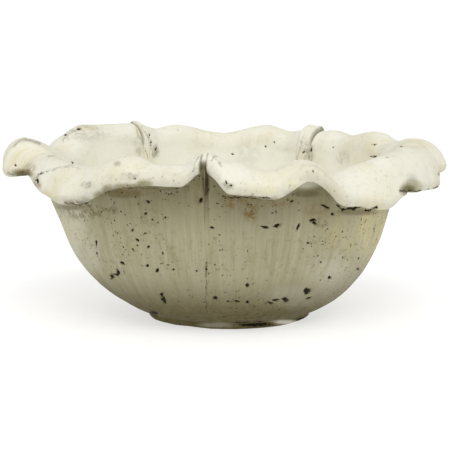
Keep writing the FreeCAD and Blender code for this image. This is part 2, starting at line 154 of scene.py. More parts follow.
# Cracks and worn lines in the front view: width, how worn at most from -1 to 1, corners of the line
FRONT_LINES = (
    (1.6, 1.0, ((321.6, 205.3), (327.8, 208.4))),
    (1.4, 0.8, ((337, 204.8), (343, 209.9), (347, 208.9), (355.3, 208.4), (360.4, 206.8))),
    (1.4, 0.8, ((365.5, 209.9), (369.6, 210.4), (376.7, 206.8))),
    (1.2, 0.1, ((223.4, 195.8), (232, 197), (265.8, 198.6), (271.4, 200.6))),
    (1.4, 0.05, ((65, 202.6), (72, 203), (79.5, 204.6), (86.4, 203))),
    (1.1, -0.25, ((38.3, 175.8), (45.9, 172), (57.4, 168.1), (70.8, 165.7), (79.4, 168.6))),
    (1.1, -0.2, ((47.8, 157.6), (59.3, 154.7))),
    (1.2, 0.5, ((401, 191), (415.5, 192), (426.7, 191), (438, 187))),
    (1.0, -0.08, ((206.4, 262), (206.2, 290), (206.6, 312))),
    (0.9, -0.15, ((193, 172), (194.4, 164), (198, 157), (200, 156))),
    (0.9, -0.15, ((211, 160), (214, 157), (220.5, 156.4))),
    (0.9, -0.15, ((216, 159), (219, 163), (221.5, 168))),
    (1.0, 0.1, ((39, 175.3), (43, 173), (47, 171.6))),
    (1.1, 0.0, ((7, 173.5), (14, 175.8), (22, 175.8), (28, 175))),
    (1.2, -0.1, ((14, 146), (18, 141.5), (23, 139.5), (33, 140.5), (40, 143.5))),
    (1.0, -0.1, ((105, 193), (118, 190), (133, 187.5), (150, 189), (173, 189), (186, 186.5))),
)
BACK_LINES = (
    (0.9, -0.22, ((134.7, 126), (142, 142), (148.5, 158))),
    (0.9, -0.18, ((140.3, 125), (150, 140), (153, 158))),
    (0.9, -0.22, ((304.3, 135.4), (299, 150), (297, 160))),
    (0.9, -0.2, ((311.4, 145), (311.4, 161))),
    (1.2, -0.1, ((14, 146), (18, 141.5), (23, 139.5), (33, 140.5), (40, 143.5))),
    (0.9, -0.2, ((64, 141), (69, 134), (78, 129), (88, 127))),
)

# Tints in the front view by kind: place across and down, half width, half height, strength. Clean
# spots thin the dirt and painted shade out, and wash and soot spots add to it.
FRONT_TINTS = {
    "rust": (
        (240, 202, 19, 7, 1.0), (250, 210, 8, 13, 1.0), (37, 182, 5, 7, 0.7), (318, 211, 14, 8, 0.5),
        (200, 196, 6, 10, 0.5), (28, 168, 8, 6, 0.6), (128, 193, 22, 5, 0.4), (275, 202, 22, 5, 0.5),
        (73, 203, 8, 3, 0.7), (127, 186, 6, 3, 0.5)),
    # Smear spots: stains and grey patches; the one under the left knob is painted shade
    "smear": (
        (88, 185, 7, 4, 0.9), (117, 164, 4, 3, 0.6), (129, 176, 9, 4, 0.8), (84, 209, 28, 12, 0.8),
        (110, 212, 12, 10, 0.7), (150, 215, 20, 14, 0.5), (320, 222, 10, 6, 0.8), (228, 186, 6, 5, 0.7),
        (24, 173, 10, 4, 0.9)),
    "warm": (
        (372, 228, 20, 30, 0.9), (345, 232, 20, 22, 0.4), (46, 194, 6, 6, 0.5), (270, 190, 10, 5, 0.4),
        (292, 185, 10, 5, 0.4), (420, 146, 22, 3, 0.6), (70, 228, 14, 26, 0.35), (22, 160, 14, 14, 0.6),
        (66, 186, 24, 10, 0.2), (442, 168, 5, 9, 0.6)),
    # Clean spots: bare paint near the foot and under one arch of the lip, and painted light on the
    # lighter left and right sides of the wall
    "clean_and_lit": (
        (68, 235, 20, 40, 0.36), (84, 256, 16, 26, 0.22), (368, 236, 26, 44, 0.10),
        (335, 285, 28, 30, 0.22), (298, 298, 34, 12, 0.2), (218, 325, 20, 2.6, 0.4),
        (285, 322, 14, 2.6, 0.85), (305, 184, 16, 5, 0.65)),
    # Soot spots: dirt and painted shade under the lip and along its lower edge, in the slit, in the dent
    # at the right and under the left knob
    "soot": (
        (408, 190, 8, 6, 0.9), (23, 174, 10, 4, 0.9), (442, 174, 4, 2, 0.8), (206, 185, 5.6, 15, 1.0),
        (199, 183, 7, 8, 0.6), (125, 194, 28, 6, 0.75), (180, 191, 20, 4, 0.6), (307, 194, 20, 5, 0.8),
        (250, 201, 26, 4, 0.5), (356, 212, 24, 4, 0.7), (72, 207, 18, 4, 0.7), (136, 308, 18, 4, 0.6)),
    # Wash spots darken the lip's lower rim; the ones in the dent at the right and under the left knob
    # are painted shade
    "wash": (
        (60, 199, 16, 5, 0.4), (84, 200, 14, 6, 0.45), (413, 187, 13, 8, 0.8), (20, 172, 11, 4, 1.0),
        (99, 196, 7, 6, 1.0), (108, 190, 8, 6.5, 1.0), (120, 188, 10, 5, 1.0), (133, 187.5, 10, 4, 1.0),
        (144, 185, 10, 5.5, 1.0)),
}
BACK_TINTS = {
    "smear": (
        (248, 154, 14, 14, 0.15), (156, 151, 4, 7, 0.7), (138, 146, 5, 14, 0.35), (308, 152, 7, 10, 0.5),
        (84, 132, 26, 10, 0.35), (343, 158, 8, 8, 0.3)),
    "warm": (
        (25, 156, 22, 18, 0.4), (415, 143, 14, 3, 0.7), (88, 128, 12, 3, 0.5), (138, 130, 6, 6, 0.4),
        (244, 140, 30, 8, 0.25)),
}

# Chips show on faces that look towards the front view by more than this share. Tints fade out on
# faces that look away by the next share, and as far behind the bowl's middle as the last.
SEEN_FACING = 0.02
TINT_AWAY = 0.4
TINT_BEHIND = 60 * MM

# Camera of the front view: its distance from the bowl's middle, its height angle, its lens
VIEW_DISTANCE = 1.8
VIEW_ANGLE = math.radians(8.6)
VIEW_MIDDLE = (-3.0 * MM, 0.0, 85 * MM)
VIEW_LENS = 144.0
VIEW_SENSOR = 36.0
VIEW_WIDTH = 450
VIEW_SHIFT = (2.5 / VIEW_WIDTH, 4.5 / VIEW_WIDTH)
VIEW_EYE = (VIEW_MIDDLE[0], VIEW_MIDDLE[1] - VIEW_DISTANCE * math.cos(VIEW_ANGLE),
            VIEW_MIDDLE[2] + VIEW_DISTANCE * math.sin(VIEW_ANGLE))

# Stage: half the floor's side in metres, the sky's colour and power, and for each soft light where it
# stands, its spread in degrees, its power and whether it casts shadows
FLOOR_HALF = 30.0
SKY_COLOUR = (1.0, 0.995, 0.98, 1.0)
SKY_POWER = 0.40
LIGHTS = {
    "key_light": ((0.1, -1.0, 0.95), 36, 1.08, True),
    "left_light": ((-1.0, -0.3, 0.6), 50, 0.79, False),
    "right_light": ((1.0, -0.3, 0.6), 50, 0.73, False),
    "top_light": ((0.0, -0.2, 1.0), 60, 0.95, False),
}


class PlanterSizes(bpy.types.PropertyGroup):
    """Sizes of the planter that its surfaces are worked out from"""

    foot_radius: bpy.props.FloatProperty(
        name="Foot radius", description="Outer radius of the foot ring",
        default=0.081, min=0.02, unit="LENGTH")
    foot_width: bpy.props.FloatProperty(
        name="Foot width", description="Width of the foot ring",
        default=0.016, min=0.004, unit="LENGTH")
    foot_height: bpy.props.FloatProperty(
        name="Foot height", description="Height of the foot ring",
        default=0.006, min=0.001, unit="LENGTH")
    floor_thickness: bpy.props.FloatProperty(
        name="Floor thickness", description="Thickness of the floor slab",
        default=0.014, min=0.004, unit="LENGTH")
    floor_radius: bpy.props.FloatProperty(
        name="Floor radius", description="Outer radius of the floor slab at its top",
        default=0.1097, min=0.05, unit="LENGTH")
    belly_reach: bpy.props.FloatProperty(
        name="Belly reach", description="Distance of the belly arc's centre from the rim's axis",
        default=0.0368, min=0.0, unit="LENGTH")
    belly_rise: bpy.props.FloatProperty(
        name="Belly rise", description="Height of the belly arc's centre above the floor slab",
        default=0.104, min=0.02, unit="LENGTH")
    wall: bpy.props.FloatProperty(
        name="Wall", description="Thickness of the wall and lip",
        default=0.014, min=0.004, unit="LENGTH")
    wall_seat: bpy.props.FloatProperty(
        name="Wall seat", description="Width of the wall's foot on the floor slab",
        default=0.028, min=0.004, unit="LENGTH")
    toe_height: bpy.props.FloatProperty(
        name="Toe height", description="Height of the slope inside the wall's foot",
        default=0.012, min=0.001, unit="LENGTH")
    rim_shift: bpy.props.FloatProperty(
        name="Rim shift", description="How far the rim's axis stands to the left of the origin",
        default=0.003, unit="LENGTH")
    lean: bpy.props.FloatProperty(
        name="Lean", description="How far the foot stands to the right of the rim's axis",
        default=0.0065, unit="LENGTH")
    drain_radius: bpy.props.FloatProperty(
        name="Drain radius", description="Radius of the drain hole",
        default=0.009, min=0.002, unit="LENGTH")
    plug_overlap: bpy.props.FloatProperty(
        name="Plug overlap", description="How far the plug's head reaches past the drain hole",
        default=0.006, min=0.001, unit="LENGTH")
    plug_head: bpy.props.FloatProperty(
        name="Plug head", description="Height of the plug's head",
        default=0.004, min=0.001, unit="LENGTH")
    chip_depth: bpy.props.FloatProperty(
        name="Chip depth", description="Depth of the chips in the paint and clay",
        default=0.0011, min=0.0, unit="LENGTH")
    hand_wave: bpy.props.FloatProperty(
        name="Hand wave", description="How far the hand-made lip swells and dips",
        default=0.0014, min=0.0, unit="LENGTH")


class PlanterColours(bpy.types.PropertyGroup):
    """Colours of the planter's paint, clay and plug"""

    paint: bpy.props.FloatVectorProperty(
        name="Paint", description="Cream paint where it is clean", subtype="COLOR", size=4,
        default=(0.74, 0.725, 0.63, 1.0), min=0.0, max=1.0)
    paint_warm: bpy.props.FloatVectorProperty(
        name="Warm paint", description="Cream paint where it has yellowed", subtype="COLOR", size=4,
        default=(0.60, 0.53, 0.28, 1.0), min=0.0, max=1.0)
    wash: bpy.props.FloatVectorProperty(
        name="Wash", description="Olive-grey wash over the outer wall", subtype="COLOR", size=4,
        default=(0.295, 0.270, 0.153, 1.0), min=0.0, max=1.0)
    # Dark wash: dirt in the brush marks, and painted shade in the hollows, under the lip, in the slit
    # and near the floor
    wash_dark: bpy.props.FloatVectorProperty(
        name="Dark wash", description="Dirt in the brush marks and hollows", subtype="COLOR", size=4,
        default=(0.086, 0.069, 0.021, 1.0), min=0.0, max=1.0)
    clay: bpy.props.FloatVectorProperty(
        name="Clay", description="Dark fired clay that shows in the chips", subtype="COLOR", size=4,
        default=(0.012, 0.010, 0.004, 1.0), min=0.0, max=1.0)
    rust: bpy.props.FloatVectorProperty(
        name="Rust", description="Rust-brown stain", subtype="COLOR", size=4,
        default=(0.175, 0.108, 0.034, 1.0), min=0.0, max=1.0)
    rubber: bpy.props.FloatVectorProperty(
        name="Rubber", description="Rubber of the drain plug", subtype="COLOR", size=4,
        default=(0.035, 0.034, 0.032, 1.0), min=0.0, max=1.0)


def sizes():
    """Give the sizes that the panel shows."""
    return bpy.context.scene.planter_sizes


def colour(name):
    """Give one of the colours that the panel shows."""
    return tuple(getattr(bpy.context.scene.planter_colours, name))


def floor_top():
    """Give the height of the floor slab's top."""
    return sizes().foot_height + sizes().floor_thickness


# Shapes


def eased(share):
    """Ease a share from 0 to 1: three times its square less twice its cube."""
    share = np.clip(share, 0.0, 1.0)
    return share * share * (3.0 - 2.0 * share)


def lattice_noise(points, cell, seed):
    """Smooth noise from -1 to 1.

    Each corner of a lattice of cubes has a number hashed from its place and the seed, and a point
    takes the eased trilinear blend of the eight corners round it.
    """
    place = points / cell
    base = np.floor(place).astype(np.int64)
    part = eased(place - base)
    total = np.zeros(points.shape[:-1])
    for corner in itertools.product((0, 1), repeat=3):
        at = base + np.array(corner)
        mixed = at[..., 0] * 73856093 ^ at[..., 1] * 19349663 ^ at[..., 2] * 83492791
        mixed = (mixed ^ seed * 668265263) & 0xFFFFFFFF
        mixed = ((mixed ^ mixed >> 15) * 2246822519) & 0xFFFFFFFF
        mixed = ((mixed ^ mixed >> 13) * 3266489917) & 0xFFFFFFFF
        value = (mixed & 0xFFFF) / 32767.5 - 1.0
        weight = np.prod(np.where(np.array(corner) == 1, part, 1.0 - part), axis=-1)
        total += value * weight
    return total


def rough_noise(points, cell, seed, octaves=3):
    """Add lattice noises whose cells and heights halve each time."""
    total = np.zeros(points.shape[:-1])
    for octave in range(octaves):
        total += lattice_noise(points, cell / 2 ** octave, seed + octave) / 2 ** octave
    return total


def lip_stations(first, last, waves, first_gap, last_gap):
    """List the angle and the lip's values at a petal's edges and waves, in radians and metres."""
    start, end = PLEATS[first], PLEATS[last]
    turn = 360.0 if end[0] < start[0] else 0.0
    span = end[0] + turn - start[0]
    rows = [(start[0] + first_gap, *start[1:])]
    rows += [(start[0] + wave[0] * span, *wave[1:]) for wave in waves]
    rows += [(end[0] + turn - last_gap, *end[1:])]
    return np.array(rows) * (math.radians(1), *LIP_UNITS)


def lip_along(angles, stations):
    """Give the lip's values at each angle, eased between the stations."""
    places = stations[:, 0]
    index = np.clip(np.searchsorted(places, angles, side="right") - 1, 0, len(places) - 2)
    share = (angles - places[index]) / (places[index + 1] - places[index])
    weight = eased(share)[:, None]
    return stations[index, 1:] * (1.0 - weight) + stations[index + 1, 1:] * weight


def steps(count):
    """Give even shares from 0 up to, and without, 1."""
    return (np.arange(count) / count)[None, :]


def wall_and_lip(angles, lip, groove, ridge):
    """Work out wall and lip as a function of the angle and of the way along the cut.

    The cut goes up the belly arc, which has its centre at belly_reach less the sway, up the straight
    wall to the bend's height, round the hollow under the lip, along the flap, round the half circle
    of its end, back along the flap, over the crown, down the inner wall and the inner arc, and down
    a slope to the seat. The sway is the lean times the sine of the angle. A point of the cut at
    radius r and height z stands at (r sin angle - rim_shift, -r cos angle, z).
    """
    s = sizes()
    rise, tilt, flap, flare, curl = (column[:, None] for column in lip.T)
    sway = s.lean * np.sin(angles)[:, None]
    centre_r = s.belly_reach - sway
    centre_z = floor_top() + s.belly_rise
    outer = np.hypot(s.floor_radius - s.belly_reach + 2.0 * sway, s.belly_rise) - groove
    thick = s.wall - groove + ridge
    inner = outer - thick
    bend = curl + groove
    crown = curl + s.wall + ridge
    low = np.arccos(s.belly_rise / outer)
    toe = np.arccos((s.belly_rise - s.toe_height) / inner)

    def on_belly(radius, angle):
        return centre_r + radius * np.sin(angle), centre_z - radius * np.cos(angle)

    def straight(start, end, share):
        return start[0] + (end[0] - start[0]) * share, start[1] + (end[1] - start[1]) * share

    wall_low = on_belly(outer, flare)
    height = floor_top() + rise
    wall_high = (wall_low[0] + (height - wall_low[1]) / np.tan(flare), height)
    turn = (wall_high[0] + bend * np.sin(flare), wall_high[1] - bend * np.cos(flare))

    def round_turn(radius, angle):
        return turn[0] - radius * np.sin(angle), turn[1] + radius * np.cos(angle)

    under = round_turn(bend, tilt)
    flap_end = (under[0] + flap * np.cos(tilt), under[1] + flap * np.sin(tilt))
    middle = (flap_end[0] - thick / 2 * np.sin(tilt), flap_end[1] + thick / 2 * np.cos(tilt))
    half_turn = tilt + math.pi * (steps(2 * END_ROWS) - 0.5)
    lip_end = (middle[0] + thick / 2 * np.cos(half_turn), middle[1] + thick / 2 * np.sin(half_turn))
    flap_top = (flap_end[0] - thick * np.sin(tilt), flap_end[1] + thick * np.cos(tilt))
    foot_outside = on_belly(outer, low)
    foot_inside = (foot_outside[0] - s.wall_seat, foot_outside[1])
    hollow_rows = BELLY_ROWS * 5 // 6
    toe_share = (np.arange(BELLY_ROWS - hollow_rows) / (BELLY_ROWS - hollow_rows - 1))[None, :]
    runs = (
        on_belly(outer, low + (flare - low) * steps(BELLY_ROWS)),
        straight(wall_low, wall_high, steps(WALL_ROWS)),
        round_turn(bend, flare + (tilt - flare) * steps(BEND_ROWS)),
        straight(under, flap_end, steps(FLAP_ROWS)),
        lip_end,
        straight(flap_top, round_turn(crown, tilt), steps(FLAP_ROWS)),
        round_turn(crown, tilt + (flare - tilt) * steps(BEND_ROWS)),
        straight(round_turn(crown, flare), on_belly(inner, flare), steps(WALL_ROWS)),
        on_belly(inner, flare + (toe - flare) * steps(hollow_rows)),
        straight(on_belly(inner, toe), foot_inside, toe_share),
    )
    radius = np.concatenate([run[0] for run in runs], axis=1)
    height = np.concatenate([run[1] for run in runs], axis=1)
    sine, cosine = np.sin(angles)[:, None], np.cos(angles)[:, None]
    return np.stack((radius * sine - s.rim_shift, -radius * cosine, height), axis=-1)


def unit_cross(over, along):
    """Give the unit vectors across two slopes: their cross product over its length."""
    normal = np.cross(over, along)
    return normal / np.maximum(np.linalg.norm(normal, axis=-1, keepdims=True), 1e-12)


def outward(points):
    """Give the unit normals of a grid: the cross product of its two slopes."""
    return unit_cross(np.gradient(points, axis=0), np.gradient(points, axis=1))


def rim_radius(points):
    """Give the distance of points from the rim's axis."""
    return np.hypot(points[..., 0] + sizes().rim_shift, points[..., 1])


def rows_of(outer_wall, under, end, top, inner_wall):
    """Give one value for each row of a cut from the values of its five zones, eased where they meet."""
    marks = np.cumsum((0, BELLY_ROWS + WALL_ROWS, BEND_ROWS + FLAP_ROWS, 2 * END_ROWS,
                       FLAP_ROWS + BEND_ROWS, WALL_ROWS + BELLY_ROWS))
    row = np.arange(2 * HALF_ROWS)
    value = np.full(2 * HALF_ROWS, float(outer_wall))
    blend = 10.0
    for edge, before, after in zip(marks[1:], (outer_wall, under, end, top),
                                   (under, end, top, inner_wall)):
        value += (after - before) * eased((row - edge) / blend + 0.5)
    return value


def in_front_view(points):
    """Give the place of points in the front view.

    A point's offset from the camera is split along the view's right, up and forward directions. Its
    place across and down is the share of right and up in forward, times the lens over the sensor.
    """
    forward = np.array((0.0, math.cos(VIEW_ANGLE), -math.sin(VIEW_ANGLE)))
    up = np.array((0.0, math.sin(VIEW_ANGLE), math.cos(VIEW_ANGLE)))
    offset = points - np.array(VIEW_EYE)
    scale = VIEW_WIDTH * VIEW_LENS / VIEW_SENSOR / (offset @ forward)
    across = VIEW_WIDTH * (0.5 - VIEW_SHIFT[0]) + offset[..., 0] * scale
    down = VIEW_WIDTH * (0.5 + VIEW_SHIFT[1]) - (offset @ up) * scale
    return across, down


def near_line(across, down, corners):
    """Give the distance to the nearest stretch of a line through corners."""
    nearest = np.full(across.shape, 1e9)
    for (x0, y0), (x1, y1) in zip(corners, corners[1:]):
        length = (x1 - x0) ** 2 + (y1 - y0) ** 2
        share = np.clip(((across - x0) * (x1 - x0) + (down - y0) * (y1 - y0)) / length, 0.0, 1.0)
        gap = np.hypot(across - x0 - share * (x1 - x0), down - y0 - share * (y1 - y0))
        nearest = np.minimum(nearest, gap)
    return nearest


def oval(across, down, width, height, turn):
    """Give 1 in the middle of a turned oval, 0 on its edge and less outside."""
    cosine, sine = math.cos(math.radians(turn)), math.sin(math.radians(turn))
    along = across * cosine + down * sine
    over = down * cosine - across * sine
    return 1.0 - np.hypot(along / (width / 2), over / (height / 2))


# Its tints hold painted shade in the soot and wash spots and painted light in the clean spots.
def wear(points, normals, outer):
    """Work out the chips and tints of a surface whose rows are outer ones by a share from 0 to 1.

    Chips are ovals and lines of the front view on the faces that look towards it, and seeded ovals
    round the rest of the outer wall, their places shaken by noise. Tints are soft ovals, which fade
    out where the surface turns away from the view. In front, only the outer rows are seen.
    """
    across, down = in_front_view(points)
    shake = 1.1 * rough_noise(points, 4 * MM, 31, 2)
    shake_down = 1.1 * rough_noise(points, 4 * MM, 57, 2)
    sight = np.array(VIEW_EYE) - points
    facing = np.sum(normals * sight, axis=-1) / np.linalg.norm(sight, axis=-1)
    behind = points[..., 1]
    in_sight = facing > SEEN_FACING
    front = in_sight & (behind < 0.0) & (outer > 0.5)
    back = in_sight & (behind >= 0.0)
    beside = eased(1.0 + facing / TINT_AWAY) * eased(1.0 - behind / TINT_BEHIND) * outer
    broken = 0.35 * lattice_noise(points, 5 * MM, 83)
    chip = np.full(across.shape, -1.0)
    for seen, chips, lines in ((front, FRONT_CHIPS, FRONT_LINES), (back, BACK_CHIPS, BACK_LINES)):
        found = np.full(across.shape, -1.0)
        for x, y, width, height, turn in chips:
            found = np.maximum(found, oval(across - x + shake, down - y + shake_down,
                                           width, height, turn))
        for width, limit, corners in lines:
            gap = near_line(across + shake, down + shake_down, corners)
            found = np.maximum(found, np.minimum(1.0 - gap / width + broken - 0.35, limit))
        chip = np.where(seen, np.maximum(chip, found), chip)
    scattered = scattered_chips(points, shake * MM, shake_down * MM)
    chip = np.where(outer > 0.5, np.maximum(chip, scattered), chip)
    tints = {name: np.zeros(across.shape) for name in FRONT_TINTS}
    for share, table in ((beside, FRONT_TINTS), (back, BACK_TINTS)):
        for name, spots in table.items():
            for x, y, half_width, half_height, strength in spots:
                soft = np.hypot((across - x) / half_width, (down - y) / half_height)
                tints[name] = np.maximum(tints[name], share * strength * eased(1.4 - soft))
    return chip, tints


def scattered_chips(points, shake, shake_up):
    """Scatter seeded ovals over the sides and back of the outer wall, which the front view hides."""
    draw = np.random.default_rng(11)
    around = np.arctan2(points[..., 0], -points[..., 1]) % (2 * math.pi)
    radius = np.hypot(points[..., 0], points[..., 1])
    chip = np.full(around.shape, -1.0)
    for _ in range(70):
        angle = math.radians(draw.uniform(82, 278))
        height = draw.uniform(26, 150) * MM
        width = draw.uniform(2.0, 4.5) * MM
        flat = draw.uniform(0.4, 1.2)
        turn = draw.uniform(-25, 25)
        middle_of_wall = 100 * MM + 0.42 * (height - 20 * MM)
        outside = radius > middle_of_wall
        found = oval((around - angle) * radius + shake, points[..., 2] - height + shake_up,
                     width, width * flat, turn)
        chip = np.where(outside, np.maximum(chip, found), chip)
    return chip


def weathered(points, normals, amount, chip):
    """Push a surface in and out: slow swells and fine tooling by noise, and chips inwards."""
    s = sizes()
    swell = rough_noise(points, 34 * MM, 5, 2) * s.hand_wave * amount
    upright = points * np.array((1.0, 1.0, 0.12))
    tooling = rough_noise(upright, 7 * MM, 19, 2) * 0.16 * MM
    grain = lattice_noise(points, 3 * MM, 43) * 0.07 * MM
    sunk = eased(chip + 0.35) * s.chip_depth
    return points + normals * (swell + tooling + grain - sunk)[..., None]


def rounded_edge(distance, radius):
    """Give how far a rounded edge lies under its flat face at a distance from the edge."""
    short = np.clip(radius - distance, 0.0, None)
    return radius - np.sqrt(np.clip(radius * radius - short * short, 0.0, None))


def dented(points):
    """Press a dent into the lip at the right: a push that fades out over a ball round its middle."""
    gap = np.linalg.norm(points - np.array(DENT_MIDDLE) * MM, axis=-1)
    share = eased(1.0 - gap / (DENT_RADIUS * MM))
    return points + share[..., None] * np.array(DENT_PRESS) * MM


def soot_of(points):
    """Give the dirt and painted shade that darken the belly towards the floor: all of it up to about 15
    mm, easing out by 70 mm up.
    """
    return eased((70 * MM - points[..., 2]) / (55 * MM))


def soot_under_lip(points):
    """Give the dirt and painted shade below the lip: none on the wall up to about 95 mm, most of it from
    150 mm up.
    """
    return 0.56 * eased((points[..., 2] - 95 * MM) / (55 * MM))


def settle(points):
    """Put the seat's two rows back on the floor slab."""
    points[:, (0, -1), 2] = floor_top()
    return points


def petal_surface(petal):
    """Work out one petal: wall and lip between two pleats, its edges rounded beside the seam strips."""
    first, last, waves = PETALS[petal]
    first_gap, last_gap = SEAMS[first][0] / 2, SEAMS[last][0] / 2
    stations = lip_stations(first, last, waves, first_gap, last_gap)
    angles = np.linspace(stations[0, 0], stations[-1, 0], PETAL_COLUMNS)
    points = wall_and_lip(angles, lip_along(angles, stations), 0.0, 0.0)
    normals = outward(points)
    radius = rim_radius(points)
    sunk = np.zeros(radius.shape)
    for pleat, gap in ((first, angles - angles[0]), (last, angles[-1] - angles)):
        rounding = rows_of(*EDGE_ROUNDING[pleat])[None, :] * MM
        sunk = sunk + rounded_edge(gap[:, None] * radius, rounding)
    points = points - normals * sunk[..., None]
    return finished_surface(points, angles, sunk)


def seam_surface(seam):
    """Work out one seam strip.

    It follows its own cut, a little recessed outside and raised inside. Its edges are rounded, and
    where it has a slit, its outer face steps back by the slit's depth above the wall.
    """
    width, groove, ridge, slit, cut = SEAMS[seam]
    middle = math.radians(PLEATS[seam][0])
    half = math.radians(width / 2)
    angles = middle + np.linspace(-half, half, SEAM_COLUMNS)
    cut = np.array(cut) * LIP_UNITS
    points = wall_and_lip(angles, np.tile(cut, (SEAM_COLUMNS, 1)), groove * MM, ridge * MM)
    normals = outward(points)
    gap = (half - np.abs(angles - middle))[:, None] * rim_radius(points)
    rounding = rows_of(0.3, 1.0, 2.0, ridge, ridge)[None, :] * MM
    sunk = rounded_edge(gap, rounding)
    step = eased((points[..., 2] - SLIT_LOW) / (SLIT_HIGH - SLIT_LOW))
    sunk = sunk + step * rows_of(slit, slit, 0.7 * slit, 0.0, 0.0)[None, :] * MM
    points = points - normals * sunk[..., None]
    return finished_surface(points, angles, sunk)


def finished_surface(points, angles, sunk):
    """Weather a surface and give it with its paint values. Painted shade lies where it is sunk at a
    seam.
    """
    points = dented(points)
    normals = outward(points)
    chip, tints = wear(points, normals, rows_of(1.0, 1.0, 1.0, 1.0, 0.0))
    amount = rows_of(0.35, 0.6, 1.0, 1.0, 0.5)[None, :]
    points = settle(weathered(points, normals, amount, chip))
    # Soot on the belly and below the lip is dirt and painted shade, and in the seams' crevices painted
    # shade.
    low_soot_and_shade = soot_of(points) * rows_of(1.0, 1.0, 0.3, 0.3, 0.3)
    high_soot_and_shade = soot_under_lip(points) * rows_of(1.0, 1.0, 0.0, 0.0, 0.0)
    crevice_shade = np.clip(sunk / (3 * MM), 0.0, 1.0) * rows_of(0.5, 1.0, 1.0, 0.5, 0.0)
    soot = np.maximum(np.maximum(low_soot_and_shade, high_soot_and_shade), crevice_shade)
    # The wash lies on the outer wall and under the lip, and a little on the lip's end and top as painted
    # shade.
    paints = dirt_values(chip, rows_of(1.0, 1.0, 0.30, 0.14, 0.0), soot, tints)
    return points, paints, way_along(points, angles)


def dirt_values(chip, grime, soot, tints):
    """Join a surface's dirt and painted shade with its tints: clean spots thin them out, wash and soot
    spots add to them.
    """
    clean_and_lit = 1.0 - tints["clean_and_lit"]
    return {"chip": chip, "grime": np.maximum(grime * clean_and_lit, tints["wash"]),
            "soot": np.maximum(soot * clean_and_lit, tints["soot"]),
            **{name: tints[name] for name in ("rust", "smear", "warm")}}


# Meshes


def new_piece(node, points, faces, paints, strokes, body, material):
    """Put a surface into a mesh object that stands for a node and rides on a body."""
    name = f"{node}_finish"
    mesh = bpy.data.meshes.new(name)
    mesh.vertices.add(len(points))
    mesh.vertices.foreach_set("co", np.ascontiguousarray(points, dtype=np.float32).ravel())
    mesh.loops.add(faces.size)
    mesh.loops.foreach_set("vertex_index", faces.astype(np.int32).ravel())
    mesh.polygons.add(len(faces))
    mesh.polygons.foreach_set("loop_start", np.arange(0, faces.size, 4, dtype=np.int32))
    for key, values in paints.items():
        layer = mesh.attributes.new(key, "FLOAT", "POINT")
        layer.data.foreach_set("value", np.ascontiguousarray(values, dtype=np.float32).ravel())
    layer = mesh.uv_layers.new(name="strokes")
    layer.data.foreach_set("uv", strokes[faces.ravel()].astype(np.float32).ravel())
    mesh.update(calc_edges=True)
    mesh.validate()
    mesh.shade_smooth()
    mesh.set_sharp_from_angle(angle=math.radians(55))
    mesh.materials.append(material)
    piece = bpy.data.objects.new(name, mesh)
    bpy.context.scene.collection.objects.link(piece)
    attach(piece, body)
    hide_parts(node)
    return piece


def strip_faces(columns, rows):
    """List the faces of a closed strip: quads round each cut, and a ladder of quads over both ends."""
    index = np.arange(columns * rows).reshape(columns, rows)
    ahead = np.roll(index, -1, axis=1)
    sides = np.stack((index[:-1], index[1:], ahead[1:], ahead[:-1]), axis=-1).reshape(-1, 4)
    rung = np.arange(rows // 2 - 1)
    ladder = np.stack((rung, rung + 1, rows - 2 - rung, rows - 1 - rung), axis=-1)
    return np.concatenate((sides, index[0][ladder], index[-1][ladder[:, ::-1]]))


def ring_faces(columns, rows):
    """List the faces of a closed ring: quads between each cut and the next, all the way round."""
    index = np.arange(columns * rows).reshape(columns, rows)
    beside = np.roll(index, -1, axis=0)
    ahead = np.roll(index, -1, axis=1)
    both = np.roll(beside, -1, axis=1)
    return np.stack((index, beside, both, ahead), axis=-1).reshape(-1, 4)


def capped_faces(columns, rows):
    """List the faces of a turned piece that is closed on its axis.

    Quads go all the way round between its first and last row, and a ladder of quads lies over both.
    """
    index = np.arange(columns * rows).reshape(columns, rows)
    beside = np.roll(index, -1, axis=0)
    sides = np.stack((index[:, :-1], beside[:, :-1], beside[:, 1:], index[:, 1:]), axis=-1)
    rung = np.arange(columns // 2 - 1)
    ladder = np.stack((rung, rung + 1, columns - 2 - rung, columns - 1 - rung), axis=-1)
    return np.concatenate((sides.reshape(-1, 4), index[:, 0][ladder[:, ::-1]], index[:, -1][ladder]))


def strip_piece(node, surface):
    """Make a petal or seam strip from its surface."""
    points, paints, strokes = surface
    columns, rows = points.shape[:2]
    return new_piece(node, points.reshape(-1, 3), strip_faces(columns, rows), paints,
                     strokes.reshape(-1, 2), "bowl", named_material(worn_cream_paint))


def turned_profile(corners, spacing):
    """Place points at about even spacing along a line of radius and height through its corners."""
    corners = np.array(corners, dtype=float)
    lengths = np.linalg.norm(np.diff(corners, axis=0), axis=1)
    counts = np.maximum(1, np.ceil(lengths / spacing)).astype(int)
    shares = [np.arange(count) / count for count in counts]
    runs = [start + (end - start) * share[:, None] for start, end, share
            in zip(corners, corners[1:], shares)]
    return np.concatenate((*runs, corners[-1:]))


def closed_profile(corners, spacing):
    """Place points at about even spacing along a line that comes back to its first corner."""
    return turned_profile([*corners, corners[0]], spacing)[:-1]


def rounded_corner(centre, radius, start, end, count=6):
    """Give points of an arc of a profile between two angles in degrees."""
    angle = np.radians(np.linspace(start, end, count))
    return [(centre[0] + radius * math.cos(a), centre[1] + radius * math.sin(a)) for a in angle]


def turned_surface(profile, columns):
    """Carry a profile once round the foot's axis: (r sin angle + lean - rim_shift, -r cos angle, z)."""
    angles = np.linspace(0, 2 * math.pi, columns, endpoint=False)
    sine, cosine = np.sin(angles)[:, None], np.cos(angles)[:, None]
    radius, height = profile[None, :, 0], profile[None, :, 1]
    shift = sizes().lean - sizes().rim_shift
    points = np.stack((radius * sine + shift, -radius * cosine, height + 0.0 * sine), axis=-1)
    return points, angles


